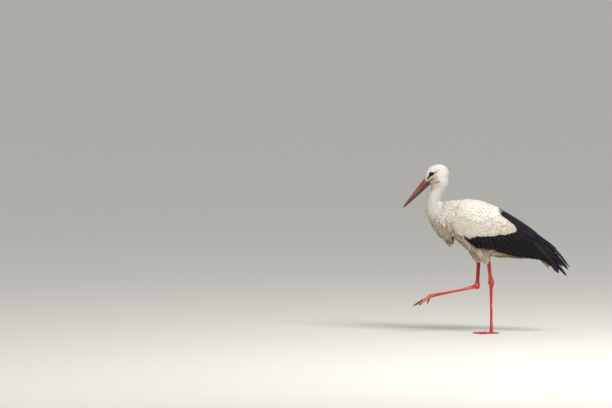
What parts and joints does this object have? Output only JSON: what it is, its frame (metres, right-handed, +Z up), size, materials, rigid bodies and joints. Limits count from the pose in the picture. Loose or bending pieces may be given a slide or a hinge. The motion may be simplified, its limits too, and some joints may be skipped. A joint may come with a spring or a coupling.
{
  "type": "white stork model",
  "caption": "Life-size still model of a standing white stork in a slow step, neck drawn back, bill lowered, one foot flat and the other lifted forward.",
  "frame": {"origin": "centre of the pad under the standing (left) foot, on the floor", "axes": "+Z up, the bird faces -X, its left side is -Y"},
  "size_m": [0.7476, 0.2042, 0.7653],
  "materials": {
    "plumage_white": "soft matte plumage, cream white, soiled buff on the breast and belly",
    "flight_feathers_black": "satin black horny flight feathers with a faint slate and purple sheen",
    "leg_skin": "scaly red skin, paler and pinker on the feet",
    "bill_horn": "dull brown-red horn with fine ridges and a dark cutting edge",
    "claw_horn": "dark brown horn",
    "eye": "wet, glossy dark brown"
  },
  "bodies": {
    "root": {"eye_left": "eye", "eye_right": "eye", "head": "plumage_white", "neck_upper": "plumage_white", "neck_lower": "plumage_white", "trunk": "plumage_white", "tail": "plumage_white", "bill_upper": "bill_horn", "bill_lower": "bill_horn", "wing_left_scapulars": "plumage_white", "wing_left_coverts": "plumage_white", "wing_left_tertials": "flight_feathers_black", "wing_left_secondaries": "flight_feathers_black", "wing_left_primaries": "flight_feathers_black", "wing_right_scapulars": "plumage_white", "wing_right_coverts": "plumage_white", "wing_right_tertials": "flight_feathers_black", "wing_right_secondaries": "flight_feathers_black", "wing_right_primaries": "flight_feathers_black", "thigh_left": "plumage_white", "shin_left": "leg_skin", "shank_left": "leg_skin", "toe_left_1": "leg_skin", "toe_left_2": "leg_skin", "toe_left_3": "leg_skin", "toe_left_4": "leg_skin", "claw_left_1": "claw_horn", "claw_left_2": "claw_horn", "claw_left_3": "claw_horn", "claw_left_4": "claw_horn", "thigh_right": "plumage_white", "shin_right": "leg_skin", "shank_right": "leg_skin", "toe_right_1": "leg_skin", "toe_right_2": "leg_skin", "toe_right_3": "leg_skin", "toe_right_4": "leg_skin", "claw_right_1": "claw_horn", "claw_right_2": "claw_horn", "claw_right_3": "claw_horn", "claw_right_4": "claw_horn"}
  },
  "joints": []
}
